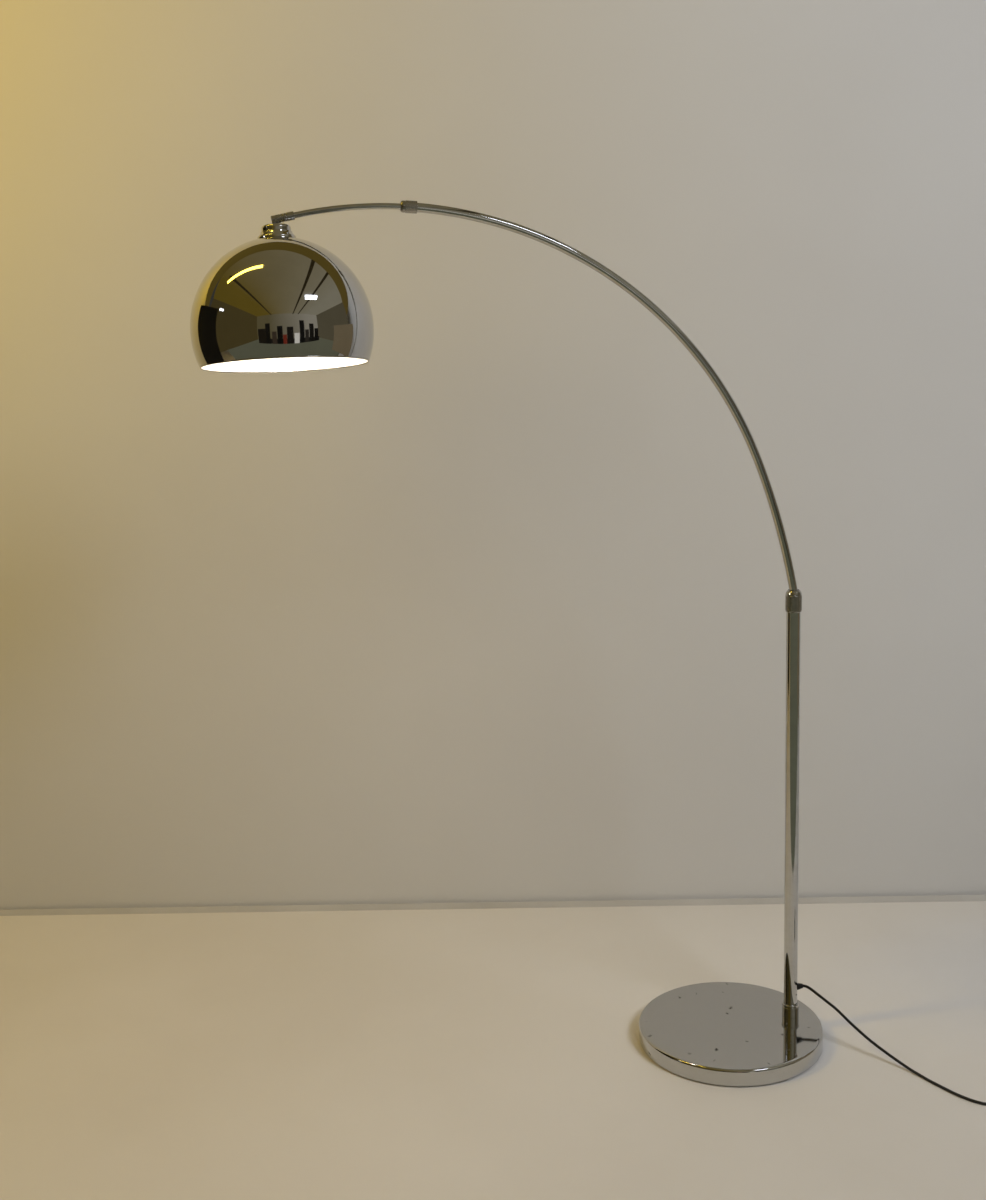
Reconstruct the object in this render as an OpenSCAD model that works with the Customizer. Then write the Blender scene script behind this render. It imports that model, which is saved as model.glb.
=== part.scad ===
// Arc floor lamp: round weighted base, offset pole, telescopic curved arm and dome shade.
// Millimetres, +Z up. The origin is the centre of the base on the floor.
// The arm reaches towards -X, and the pole stands on the +X axis.

/* [Base] */
// Diameter of the round base
base_d = 340; // [280:5:420]
// Height of the base's top face above the floor
base_h = 34; // [28:1:60]
// Radius of the pressed cover's top edge
base_edge_r = 6; // [2:0.5:8]
// Sheet thickness of the pressed cover
cover_t = 1.2; // [0.8:0.1:2]
// Height of the rubber feet
foot_h = 2.5; // [2:0.5:5]
// Diameter of each rubber foot
foot_d = 18; // [10:1:30]
// Number of rubber feet in the outer ring, and of the screws between them
foot_count = 6; // [3:1:10]

/* [Pole] */
// Distance of the pole from the centre of the base
pole_x = 121; // [80:1:125]
// Outside diameter of the pole
pole_d = 25; // [22:0.5:32]
// Wall of the pole
pole_t = 1.2; // [0.8:0.1:2]
// Height of the top of the pole above the floor
pole_top = 832; // [500:1:1100]
// Thickness of the ferrule round the foot of the pole
ferrule_wall = 3.5; // [2.5:0.25:8]
// Height of the ferrule
ferrule_h = 25; // [12:1:40]
// Height of the cord outlet above the floor
outlet_z = 89; // [86:1:140]

/* [Curved arm] */
// Outside diameter of the outer arm tube
arc_d = 15; // [12:0.5:16]
// Wall of the outer arm tube
arc_t = 1; // [0.8:0.1:1.5]
// Radius of the main bend, to the middle of the tube
arc_r = 695; // [550:5:850]
// Radius of the gentler bend above the pole
root_r = 1230; // [900:10:1600]
// Lean of the tube where it leaves the pole, in degrees
root_lean = 10.7; // [4:0.1:16]
// Lean at which the gentler bend meets the main bend, in degrees
blend_lean = 22; // [18:0.5:30]
// Angle at which the outer tube ends, in degrees up the main bend
arc_end = 85.9; // [75:0.1:95]
// Length of the straight tail inside the pole
tail_len = 175; // [165:1:220]
// How far the arm can be lifted in the pole
lift_range = 90; // [40:1:95]

/* [Telescopic arm] */
// Outside diameter of the inner arm tube
inner_d = 9.5; // [8:0.5:10]
// Wall of the inner arm tube
inner_t = 0.8; // [0.6:0.1:1]
// Angle at which the inner tube begins inside the outer one, in degrees
inner_start = 51.3; // [45:0.1:60]
// Angle at which the swivel joint begins, in degrees
knuckle_angle = 100.75; // [96:0.05:112]

/* [Collars] */
// Thickness of the twist collar on the pole
pole_collar_wall = 2; // [1.75:0.25:6]
// Height of the twist collar on the pole
pole_collar_h = 40; // [30:1:60]
// Thickness of the twist collar on the arm
arc_collar_wall = 2.25; // [2:0.25:5]
// Length of the twist collar on the arm
arc_collar_h = 27; // [24:1:36]

/* [Swivel joint] */
// Diameter of the swivel barrel
barrel_d = 13.5; // [13:0.5:18]
// Length of the fixed half of the barrel
barrel_fixed = 15.5; // [14:0.5:24]
// Length of the turning half of the barrel
barrel_turning = 19.7; // [19:0.1:28]
// Width of the slot for the stem's tongue
slot_w = 6; // [5:0.1:7]
// Turn of the head about the barrel, towards -Y, in degrees
head_turn = 6; // [-30:1:30]

/* [Shade and cap] */
// Outside radius of the dome
shade_r = 143.2; // [120:0.2:180]
// Sheet thickness of the dome
shade_t = 0.8; // [0.6:0.1:1.5]
// Height of the dome from its crown to its rim
shade_h = 197; // [160:1:230]
// Radius of the rolled bead on the rim
rim_bead_r = 1.5; // [1.2:0.1:2.5]
// Diameter of the cap's skirt
cap_d = 61; // [54:1:80]
// Height of the cap
cap_h = 22; // [20:0.5:30]
// Distance of the cap's flat top below the tilt pin
cap_drop = 9.4; // [9.2:0.1:14]

/* [Lampholder and bulb] */
// Outside diameter of the lampholder
holder_d = 39; // [36:1:44]
// Length of the lampholder with its cap
holder_l = 54; // [50:1:64]
// Diameter of the bulb's glass
bulb_d = 60; // [45:1:80]
// Diameter of the bulb's screw cap
bulb_cap_d = 26.4; // [26:0.1:27]

/* [Cord] */
// Diameter of the mains cord
cord_d = 5.2; // [4:0.1:6]
// Length of the foot switch
switch_l = 74; // [60:1:90]
// Width of the foot switch
switch_w = 38; // [30:1:45]
// Height of the foot switch without its button
switch_h = 20; // [18:1:26]
// Travel of the foot switch's button
button_travel = 2.5; // [1:0.1:3.5]

/* [Hidden] */
$fn = 64;

// Clearances
fit = 0.05;        // between a shaft or a plug and the bore that it turns, slides or sits in
gap = 0.3;         // between pieces that move past each other without guiding
eps = 0.02;        // how far a cut passes beyond the face that it opens
seam = 0.1;        // how much fuller each bend of the arm is than the one after it

// Base fastenings
bolt_d = 10;
bolt_head_af = 17;
bolt_head_h = 6.4;
bolt_reach = 30;
washer_d = 28;
washer_t = 2;
recess_d = 32;
recess_roof = foot_h + 13.5;
plate_t = 1.5;
screw_d = 4;
screw_head_d = 7.5;
screw_head_h = 1.4;
screw_l = 10;
foot_inset = 22;
cover_lift = 0.5;
insert_h = outlet_z - base_h - 6;
grub_d = 3;
grub_z = outlet_z - 11;
grub_angle = -55;
outlet_d = 8.2;

// Top of the pole
pole_id = pole_d - 2 * pole_t;
bush_l = 56;
bush_flange = 2;
collet_l = 7.7;
collet_slit = 2;
bend_r = 60;
bend_z = pole_top + bush_flange + gap + collet_l + gap + 0.2;
collar_z = bend_z + 9 - pole_collar_h;
collar_wall_top = 7.5;
ring_l = 12;

// Diameters that follow from the tubes they fit
ferrule_d = pole_d + 2 * ferrule_wall;
pole_collar_d = pole_d + 2 * pole_collar_wall;
arc_collar_d = arc_d + 2 * arc_collar_wall;

// Centres of the arm's three bends, in the plane y = 0
bend_c = [pole_x - bend_r, bend_z];
root_p = bend_c + bend_r * [cos(root_lean), sin(root_lean)];
root_c = root_p - root_r * [cos(root_lean), sin(root_lean)];
main_p = root_c + root_r * [cos(blend_lean), sin(blend_lean)];
main_c = main_p - arc_r * [cos(blend_lean), sin(blend_lean)];
mm_deg = 180 / (PI * arc_r);
arc_id = arc_d - 2 * arc_t;
inner_id = inner_d - 2 * inner_t;
arc_collar_angle = arc_end - 0.2;
arc_bush_l = 18;
arc_bush_flange = 4;
glide_l = 26;

// Swivel joint, measured along the barrel from the adaptor's open end
knuckle_slope = knuckle_angle - 90;
tube_seat = 9;
washer_gap = 0.8;
turn_x = barrel_fixed + washer_gap;
barrel_l = turn_x + barrel_turning;
pin_x = barrel_l - 6.3;
pin_d = 4;
eye_r = 4.6;
slot_play = 1;
rivet_r = 4;
rivet_bore_r = 2.6;
rivet_head_r = 5.1;
rivet_head_l = 1.7;
rivet_head_x = pin_x - eye_r - 3;
groove_r = 0.7;
neck_d = 7.8;
nipple_r = 4.95;
nipple_bore_r = 3;

// Stack below the tilt pin, measured down the head's own axis
cap_t = 1;
dome_top = cap_drop + cap_h - cap_skirt_rise();
dome_c = dome_top + shade_r;
rim_drop = dome_top + shade_h;
nut_af = 14;
nut_h = 4;
clamp_washer_r = 14;
clamp_washer_t = 1.3;
clamp_top = dome_c - sqrt(pow(shade_r - shade_t, 2) - pow(clamp_washer_r, 2)) + fit;
nut_top = clamp_top + clamp_washer_t;
holder_top = nut_top + nut_h + 0.5;
holder_cap_l = 18;
holder_wall = 1.8;
nipple_end = holder_top + 9;
socket_top = holder_top + holder_cap_l + fit + 5;
socket_l = 26;
contact_t = 1.5;
bulb_cap_top = socket_top + contact_t + 1.8;
bulb_cap_l = 25;
glass_top = bulb_cap_top + bulb_cap_l - 2;
glass_neck_r = 12.5;
glass_ball_drop = glass_top + 48;

// Leads inside the lamp
lead_r = 2.2;
lead_bend = 8;
grommet_reach = 12;
grommet_d = 13;
grommet_tip_d = 8;
grommet_flange = 5;
grommet_z = outlet_z;

// Cord route from the grommet's tip to the foot switch
cord_route = [
    [pole_x + pole_d / 2 + 11.5, 0, outlet_z], [151, -3, 88.5], [157, -11, 86], [163, -23, 82], [169, -35, 78],
    [176, -48, 73], [183, -60, 68], [190, -72, 61], [197, -84, 53.5], [205, -96, 45.5],
    [213, -108, 38], [221, -120, 31], [229, -132, 25], [237, -144.5, 20], [245, -158, 15],
    [253, -171, 10.5], [260, -184, 7], [266, -196, 4.4], [272, -209, 3], [278, -226, 2.6],
    [285, -244, 2.6], [293, -263, 2.6], [301, -281, 2.6], [310, -297, 2.6], [320, -311, 2.6],
    [331, -322, 2.8], [342, -331, 4.2], [352, -339, 6]
];
// From the foot switch to the coil, and from the coil to the plug
switch_route = [[428, -407, 6], [433, -411, 5], [439, -416, 3.4], [446, -422.5, 2.6]];
plug_route = [
    [509, -385, 7.8], [507, -376, 7], [505, -367, 5], [502, -358, 3.2], [498, -350, 2.6],
    [493, -342, 2.8], [487, -335, 4], [480, -329.5, 6], [472, -327, 6.8]
];
switch_at = [390, -373];
switch_turn = -41.5;
gland_l = 14;
entry_z = 6;
coil_at = [475, -399];
coil_mid_r = 28.6;
coil_band = 22.2;
coil_h = 2 * cord_d;
plug_at = [472, -327];
plug_turn = 170;
plug_w = 35.3;
plug_t = 13.6;
plug_l = 36;
plug_nose_l = 16;
plug_boot_l = 20;
pin_spacing = 18.6;
pin_dia = 4;
pin_l = 19;

// Height of the dome's surface at the cap's skirt, below the crown
function cap_skirt_rise() = shade_r - sqrt(shade_r * shade_r - cap_d * cap_d / 4);

// ---------------------------------------------------------------- helpers

// Solid of revolution between two heights: a plain tube with its axis along Z
module tube(outer, inner, low, high) {
    translate([0, 0, low])
        difference() {
            cylinder(r = outer, h = high - low);
            translate([0, 0, -eps]) cylinder(r = inner, h = high - low + 2 * eps);
        }
}

module rod(r, low, high) {
    translate([0, 0, low]) cylinder(r = r, h = high - low);
}

// Length of curved rod: centre c in the plane y = 0, angles measured up from +X
module bent_rod(c, r, a0, a1, radius) {
    translate([c[0], 0, c[1]])
        rotate([90, 0, 0])
            rotate([0, 0, a0])
                rotate_extrude(angle = a1 - a0, $fn = 360)
                    translate([r, 0]) circle(r = radius, $fn = 48);
}

module bent_tube(c, r, a0, a1, outer, inner) {
    past = eps * 180 / (PI * r);
    difference() {
        bent_rod(c, r, a0, a1, outer);
        bent_rod(c, r, a0 - past, a1 + past, inner);
    }
}

module at_pole() {
    translate([pole_x, 0, 0]) children();
}

// Frame on the main bend: local Z runs along the tube, away from the pole
module on_arc(angle) {
    translate([main_c[0] + arc_r * cos(angle), 0, main_c[1] + arc_r * sin(angle)])
        rotate([0, -angle, 0]) children();
}

// Swivel frame: local X runs along the barrel, away from the pole
module at_knuckle() {
    translate([main_c[0] + arc_r * cos(knuckle_angle), 0, main_c[1] + arc_r * sin(knuckle_angle)])
        rotate([0, knuckle_slope, 180]) children();
}

// Frame of the turning half: the swivel frame, turned about the barrel
module at_turning() {
    at_knuckle() rotate([head_turn, 0, 0]) children();
}

// Head frame: origin on the tilt pin, local Z up the head's axis
module at_head() {
    at_turning() translate([pin_x, 0, 0]) rotate([0, -knuckle_slope, 0]) children();
}

module along_x(low, high, r) {
    translate([low, 0, 0]) rotate([0, 90, 0]) cylinder(r = r, h = high - low);
}

module around_base(radius, turn) {
    for (i = [0 : foot_count - 1])
        rotate([0, 0, turn + i * 360 / foot_count])
            translate([radius, 0, 0]) children();
}

module rounded_plate(l, w, r, h) {
    linear_extrude(height = h) {
        square([l - 2 * r, w], center = true);
        square([l, w - 2 * r], center = true);
        for (x = [-1, 1], y = [-1, 1])
            translate([x * (l / 2 - r), y * (w / 2 - r)]) circle(r = r);
    }
}

// Points of a ring of the cord: side k of n, round point p, square to direction d
function unit(v) = v / norm(v);
function side_axis(d) = unit(cross([0, 0, 1], d));
function up_axis(d) = cross(unit(d), side_axis(d));
function ring_point(p, d, r, a) = p + r * (cos(a) * side_axis(d) + sin(a) * up_axis(d));
function along(route, i) =
    route[min(i + 1, len(route) - 1)] - route[max(i - 1, 0)];

// Plain cord along a route: one closed polyhedron
module swept_cord(route, r, sides) {
    n = len(route);
    rings = [for (i = [0 : n - 1], k = [0 : sides - 1])
        ring_point(route[i], along(route, i), r, k * 360 / sides)];
    walls = [for (i = [0 : n - 2], k = [0 : sides - 1])
        let (j = (k + 1) % sides)
        [i * sides + k, (i + 1) * sides + k, (i + 1) * sides + j, i * sides + j]];
    first = [[for (k = [0 : sides - 1]) k]];
    last = [[for (k = [sides - 1 : -1 : 0]) (n - 1) * sides + k]];
    polyhedron(points = rings, faces = concat(walls, first, last));
}

// ---------------------------------------------------------------- base

module cover_profile(radius, height, edge) {
    square([radius - edge, height]);
    square([radius, height - edge]);
    translate([radius - edge, height - edge]) circle(r = edge);
}

module base_cover() {
    low = foot_h + cover_lift;
    color("silver")
        difference() {
            translate([0, 0, low])
                rotate_extrude($fn = 180)
                    difference() {
                        cover_profile(base_d / 2, base_h - low, base_edge_r);
                        translate([0, -eps])
                            cover_profile(base_d / 2 - cover_t, base_h - low - cover_t + eps,
                                          base_edge_r - cover_t);
                    }
            at_pole() rod(bolt_d / 2 + gap, 0, base_h + 1);
        }
}

module base_weight() {
    top = base_h - cover_t;
    low = foot_h + plate_t;
    radius = base_d / 2 - cover_t - gap;
    color("dimgray")
        difference() {
            union() {
                rod(radius, low, top - base_edge_r);
                translate([0, 0, top - base_edge_r])
                    cylinder(r1 = radius, r2 = radius - base_edge_r, h = base_edge_r);
            }
            at_pole() rod(recess_d / 2, low - eps, recess_roof);
            at_pole() rod(bolt_d / 2 + gap, 0, base_h);
            around_base(base_d / 2 - foot_inset, 180 / foot_count)
                rod(screw_d / 2 + fit, 0, foot_h + screw_l + gap);
        }
}

module base_plate() {
    color("black")
        difference() {
            rod(base_d / 2 - cover_t - gap, foot_h, foot_h + plate_t);
            at_pole() rod(recess_d / 2, 0, foot_h + plate_t + 1);
            around_base(base_d / 2 - foot_inset, 180 / foot_count)
                rod(screw_d / 2 + gap, 0, foot_h + plate_t + 1);
        }
}

module base_screws() {
    color("gray")
        around_base(base_d / 2 - foot_inset, 180 / foot_count) {
            rod(screw_head_d / 2, foot_h - screw_head_h, foot_h);
            rod(screw_d / 2, foot_h, foot_h + screw_l);
        }
}

module base_feet() {
    color("black")
        union() {
            around_base(base_d / 2 - foot_inset, 0)
                rod(foot_d / 2, 0, foot_h);
            rod(foot_d / 2, 0, foot_h);
        }
}

module pole_bolt() {
    head_top = recess_roof - washer_t;
    color("gray")
        at_pole() {
            translate([0, 0, head_top - bolt_head_h])
                cylinder(d = bolt_head_af / cos(30), h = bolt_head_h, $fn = 6);
            rod(bolt_d / 2, head_top, base_h + bolt_reach);
        }
}

module bolt_washer() {
    color("lightgray")
        at_pole() tube(washer_d / 2, bolt_d / 2 + gap, recess_roof - washer_t, recess_roof);
}

// ---------------------------------------------------------------- pole

module outlet_bore(r) {
    translate([0, 0, grommet_z]) rotate([0, 90, 0]) cylinder(r = r, h = pole_d);
}

module grub_axis() {
    translate([0, 0, grub_z]) rotate([0, 90, grub_angle]) children();
}

module pole_insert() {
    color("gray")
        at_pole()
            difference() {
                rod(pole_id / 2 - fit, base_h, base_h + insert_h);
                rod(bolt_d / 2 + fit, base_h - eps, base_h + bolt_reach + 4);
                grub_axis() rod(grub_d / 2 + fit, bolt_d / 2, pole_d);
            }
}

module pole_grub_screw() {
    color("black")
        at_pole() grub_axis() rod(grub_d / 2, bolt_d / 2 + 1, pole_d / 2 + 0.2);
}

module pole_ferrule() {
    lip = 3;
    color("silver")
        at_pole()
            difference() {
                translate([0, 0, base_h])
                    rotate_extrude() {
                        square([ferrule_d / 2, ferrule_h - lip]);
                        square([ferrule_d / 2 - lip, ferrule_h]);
                        translate([ferrule_d / 2 - lip, ferrule_h - lip]) circle(r = lip);
                    }
                rod(pole_d / 2 + fit, base_h - 1, base_h + ferrule_h + 1);
            }
}

module pole_tube() {
    color("silver")
        at_pole()
            difference() {
                tube(pole_d / 2, pole_id / 2, base_h, pole_top);
                outlet_bore(outlet_d / 2);
                grub_axis() rod(grub_d / 2 + fit, 0, pole_d);
            }
}

module cord_grommet() {
    color("black")
        at_pole()
            difference() {
                union() {
                    translate([0, 0, grommet_z])
                        rotate([0, 90, 0])
                            cylinder(d = outlet_d - 2 * fit, h = pole_d / 2 + 2);
                    translate([pole_d / 4, 0, grommet_z])
                        rotate([0, 90, 0])
                            cylinder(d = grommet_d, h = pole_d / 4 + grommet_flange);
                    translate([pole_d / 2 + grommet_flange, 0, grommet_z])
                        rotate([0, 90, 0])
                            cylinder(d1 = grommet_d - 1, d2 = grommet_tip_d, h = grommet_reach - grommet_flange - 0.5);
                }
                difference() {
                    rod(pole_d / 2 + fit, 0, pole_top);
                    translate([0, 0, grommet_z])
                        rotate([0, 90, 0])
                            cylinder(d = outlet_d - 2 * fit, h = pole_d);
                }
                rod(pole_id / 2 - 3, 0, pole_top);
                outlet_bore(cord_d / 2 + fit);
            }
}

module pole_bush() {
    color("white")
        at_pole()
            difference() {
                union() {
                    rod(pole_id / 2 - fit, pole_top - bush_l, pole_top);
                    rod(pole_d / 2 - gap, pole_top, pole_top + bush_flange);
                }
                rod(arc_d / 2 + fit, pole_top - bush_l - 1, pole_top + bush_flange + 1);
            }
}

module pole_collar() {
    top = collar_z + pole_collar_h;
    crown = 5;
    foot = 1;
    color("silver")
        at_pole()
            difference() {
                translate([0, 0, collar_z])
                    rotate_extrude() {
                        polygon([[0, 0], [pole_collar_d / 2 - foot, 0], [pole_collar_d / 2, foot],
                                 [pole_collar_d / 2, pole_collar_h - crown], [0, pole_collar_h - crown]]);
                        square([pole_collar_d / 2 - crown, pole_collar_h]);
                        translate([pole_collar_d / 2 - crown, pole_collar_h - crown]) circle(r = crown);
                    }
                rod(pole_d / 2 + 2 * fit, collar_z - 1, top - collar_wall_top);
                rod(arc_d / 2 + 1.9, collar_z - 1, top + 1);
            }
}

module pole_collet() {
    low = pole_top + bush_flange + gap;
    color("white")
        at_pole()
            difference() {
                translate([0, 0, low])
                    cylinder(r1 = pole_d / 2 - 1.2, r2 = pole_d / 2 - 2.5, h = collet_l);
                rod(arc_d / 2 + fit, low - 1, low + collet_l + 1);
                translate([0, -collet_slit / 2, low - 1]) cube([pole_d, collet_slit, collet_l + 2]);
            }
}

// ---------------------------------------------------------------- curved arm

// The whole run of the outer tube as a solid rod, or of anything that lies inside it.
// Each bend is a hair fuller than the next one and runs a little way into it.
module arm_rod(radius, swell, low, end_angle) {
    run = 0.3;
    at_pole() rod(radius, low, bend_z);
    bent_rod(bend_c, bend_r, 0, root_lean + run * 180 / (PI * bend_r), radius + 2 * swell);
    bent_rod(root_c, root_r, root_lean, blend_lean + run * 180 / (PI * root_r), radius + swell);
    bent_rod(main_c, arc_r, blend_lean, end_angle, radius);
}

module arc_tube() {
    color("silver")
        difference() {
            arm_rod(arc_d / 2, seam, bend_z - tail_len, arc_end);
            arm_rod(arc_id / 2, -seam, bend_z - tail_len - eps, arc_end + eps * mm_deg);
        }
}

module tail_ring() {
    low = bend_z - tail_len;
    color("white") at_pole() tube(pole_id / 2 - 4 * fit, arc_d / 2, low, low + ring_l);
}

module arc_bush() {
    front = arc_end + arc_bush_flange * mm_deg;
    back = arc_end - arc_bush_l * mm_deg;
    color("white")
        difference() {
            union() {
                bent_rod(main_c, arc_r, arc_end, front, arc_d / 2);
                bent_rod(main_c, arc_r, back, arc_end + mm_deg, arc_id / 2 - fit);
            }
            bent_rod(main_c, arc_r, back - mm_deg, front + mm_deg, inner_d / 2 + fit);
        }
}

module arc_collar() {
    half = arc_collar_h / 2;
    crown = 3.5;
    front_wall = 3;
    play = 0.45;
    color("silver")
        on_arc(arc_collar_angle)
            difference() {
                translate([0, 0, -half])
                    rotate_extrude() {
                        square([arc_collar_d / 2, arc_collar_h - crown]);
                        square([arc_collar_d / 2 - crown, arc_collar_h]);
                        translate([arc_collar_d / 2 - crown, arc_collar_h - crown]) circle(r = crown);
                    }
                rod(arc_d / 2 + play, -half - 1, half - front_wall);
                rod(inner_d / 2 + play, -half - 1, half + 1);
            }
}

module inner_tube() {
    color("silver")
        bent_tube(main_c, arc_r, inner_start, knuckle_angle + tube_seat * mm_deg,
                  inner_d / 2, inner_id / 2);
}

module inner_glide() {
    color("white")
        bent_tube(main_c, arc_r, inner_start, inner_start + glide_l * mm_deg,
                  arc_id / 2 - fit, inner_d / 2);
}

// ---------------------------------------------------------------- swivel joint

module tube_adaptor() {
    color("darkgray")
        at_knuckle()
            difference() {
                along_x(0, barrel_fixed, barrel_d / 2);
                along_x(-1, tube_seat + gap, inner_d / 2 + 0.1);
                along_x(0, barrel_fixed + 1, rivet_r);
            }
}

module swivel_rivet() {
    color("gray")
        at_knuckle()
            difference() {
                union() {
                    along_x(tube_seat + 1, rivet_head_x, rivet_r);
                    along_x(rivet_head_x, rivet_head_x + rivet_head_l, rivet_head_r);
                }
                along_x(0, barrel_l, rivet_bore_r);
            }
}

module swivel_washer() {
    color("gray")
        at_knuckle()
            difference() {
                along_x(barrel_fixed, turn_x - fit, barrel_d / 2 - 0.5);
                along_x(0, barrel_l, rivet_r + fit);
            }
}

module swivel_barrel() {
    color("darkgray")
        at_turning()
            difference() {
                along_x(turn_x, barrel_l, barrel_d / 2);
                along_x(0, rivet_head_x + 1, rivet_r + fit);
                along_x(rivet_head_x - gap, pin_x, rivet_head_r + gap);
                translate([pin_x - eye_r - slot_play, -slot_w / 2, -barrel_d])
                    cube([barrel_l, slot_w, 2 * barrel_d]);
                translate([pin_x, 0, 0])
                    rotate([90, 0, 0]) cylinder(d = pin_d, h = barrel_d, center = true);
                for (x = [turn_x + 1.6, turn_x + 5.2])
                    translate([x, 0, 0])
                        rotate([0, 90, 0])
                            rotate_extrude()
                                translate([barrel_d / 2, 0]) circle(r = groove_r);
            }
}

module tilt_pin() {
    color("gray")
        at_turning()
            translate([pin_x, 0, 0])
                rotate([90, 0, 0]) cylinder(d = pin_d, h = barrel_d - 2.5, center = true);
}

module swivel_stem() {
    tongue_t = slot_w - 4 * fit;
    shoulder = cap_drop - 0.4;
    color("darkgray")
        at_head()
            difference() {
                union() {
                    rotate([90, 0, 0]) cylinder(r = eye_r, h = tongue_t, center = true);
                    translate([-neck_d / 2, -tongue_t / 2, -shoulder - 0.5])
                        cube([neck_d, tongue_t, shoulder + 0.5]);
                    rod(neck_d / 2, -cap_drop - 1, -shoulder);
                    rod(nipple_r, -nipple_end, -cap_drop);
                }
                rotate([90, 0, 0]) cylinder(r = pin_d / 2 + fit, h = barrel_d, center = true);
                rod(nipple_bore_r, -nipple_end - 1, -cap_drop);
            }
}

// ---------------------------------------------------------------- cap and shade

// Outline of the cap, skirt down: flat top, round shoulder, a small step and a flared skirt
module cap_outline(inset) {
    shoulder = 10;
    body_r = cap_d * 0.377;
    step_y = cap_h - 10.5;
    square([body_r - shoulder, cap_h - inset]);
    square([body_r - inset, cap_h - shoulder]);
    translate([body_r - shoulder, cap_h - shoulder])
        intersection() {
            circle(r = shoulder - inset);
            square(shoulder);
        }
    polygon([[0, 0], [cap_d / 2 - inset, 0], [cap_d * 0.496 - inset, 3],
             [cap_d * 0.45 - inset, 8 - inset / 2], [cap_d * 0.408 - inset, step_y - inset],
             [0, step_y - inset]]);
}

module holder_cap() {
    color("silver")
        at_head()
            difference() {
                translate([0, 0, -cap_drop - cap_h])
                    rotate_extrude()
                        difference() {
                            cap_outline(0);
                            translate([0, -eps]) cap_outline(cap_t);
                        }
                rod(nipple_r + fit, -nipple_end, 0);
                translate([0, 0, -dome_c]) sphere(r = shade_r + fit, $fn = 180);
            }
}

module shade() {
    bead_ring = sqrt(pow(shade_r, 2) - pow(rim_drop - dome_c, 2)) - rim_bead_r;
    color("silver")
        at_head()
            difference() {
                union() {
                    difference() {
                        translate([0, 0, -dome_c]) sphere(r = shade_r, $fn = 180);
                        translate([0, 0, -dome_c]) sphere(r = shade_r - shade_t, $fn = 180);
                        translate([0, 0, -rim_drop - 2 * shade_r]) cylinder(r = 2 * shade_r, h = 2 * shade_r);
                    }
                    translate([0, 0, -rim_drop])
                        rotate_extrude($fn = 180)
                            translate([bead_ring, 0]) circle(r = rim_bead_r);
                }
                rod(nipple_r + gap, -nipple_end, 0);
            }
}

module shade_washer() {
    color("lightgray")
        at_head() tube(clamp_washer_r, nipple_r + fit, -clamp_top - clamp_washer_t, -clamp_top);
}

module lock_nut() {
    color("gray")
        at_head()
            difference() {
                translate([0, 0, -nut_top - nut_h])
                    cylinder(d = nut_af / cos(30), h = nut_h, $fn = 6);
                rod(nipple_r + fit, -nipple_end, 0);
            }
}

// ---------------------------------------------------------------- lampholder and bulb

module lampholder_cap() {
    low = holder_top + holder_cap_l;
    neck_r = 9;
    color("black")
        at_head()
            difference() {
                union() {
                    rod(neck_r, -holder_top - 6, -holder_top);
                    translate([0, 0, -low])
                        cylinder(r1 = holder_d / 2, r2 = neck_r, h = holder_cap_l - 5);
                }
                rod(nipple_r + fit, -nipple_end, 0);
                translate([0, 0, -low - eps])
                    cylinder(r1 = holder_d / 2 - holder_wall, r2 = nipple_r, h = holder_cap_l - 8);
            }
}

module lampholder_shell() {
    low = holder_top + holder_l;
    high = holder_top + holder_cap_l + fit;
    flange_r = holder_d / 2 + 2;
    color("black")
        at_head()
            difference() {
                union() {
                    rod(holder_d / 2, -low, -high);
                    rod(flange_r, -high - 7, -high - 3);
                }
                rod(holder_d / 2 - holder_wall, -low - 1, -high - 5);
                rod(2.5, -low - 1, 0);
            }
}

module socket_thread() {
    outer = bulb_cap_d / 2 + 1;
    color("gold") at_head() tube(outer, bulb_cap_d / 2 + 2 * fit, -socket_top - socket_l, -socket_top);
}

module socket_contact() {
    color("gold") at_head() rod(4, -socket_top - contact_t, -socket_top);
}

module bulb_cap() {
    low = bulb_cap_top + bulb_cap_l;
    color("lightgray")
        at_head() {
            rod(bulb_cap_d / 2, -low, -bulb_cap_top - 4);
            translate([0, 0, -bulb_cap_top - 4])
                cylinder(r1 = bulb_cap_d / 2, r2 = 6, h = 4);
        }
}

module bulb_contact() {
    color("gray") at_head() rod(4.5, -bulb_cap_top, -socket_top - contact_t - fit);
}

module bulb_glass() {
    low = bulb_cap_top + bulb_cap_l;
    lean = asin((bulb_d / 2 - glass_neck_r) / (glass_ball_drop - low)) / 2;
    color("white", 0.8)
        at_head() {
            translate([0, 0, -glass_ball_drop]) sphere(d = bulb_d);
            translate([0, 0, -glass_ball_drop + bulb_d / 2 * sin(2 * lean)])
                cylinder(r1 = bulb_d / 2 * cos(2 * lean), r2 = glass_neck_r,
                         h = glass_ball_drop - bulb_d / 2 * sin(2 * lean) - low);
        }
}

// ---------------------------------------------------------------- leads inside the lamp

module lead_pole() {
    top = bend_z - tail_len - 20;
    color("black")
        at_pole() {
            translate([lead_bend, 0, grommet_z])
                rotate([0, 90, 0])
                    cylinder(r = cord_d / 2, h = pole_d / 2 + grommet_reach - lead_bend - 0.5);
            translate([lead_bend, 0, grommet_z + lead_bend])
                rotate([90, 0, 0])
                    rotate([0, 0, 180])
                        rotate_extrude(angle = 90)
                            translate([lead_bend, 0]) circle(r = cord_d / 2);
            rod(cord_d / 2, grommet_z + lead_bend, top);
        }
}

module lead_arc() {
    color("black") arm_rod(lead_r, seam, bend_z - tail_len - 10, inner_start - 16);
}

module lead_inner() {
    color("black")
        bent_rod(main_c, arc_r, inner_start - 1, knuckle_angle + (tube_seat - 1) * mm_deg, lead_r);
}

module lead_head() {
    color("black") at_head() rod(lead_r, -nipple_end - 3, -cap_drop - 3);
}

// ---------------------------------------------------------------- cord, switch and plug

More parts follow.
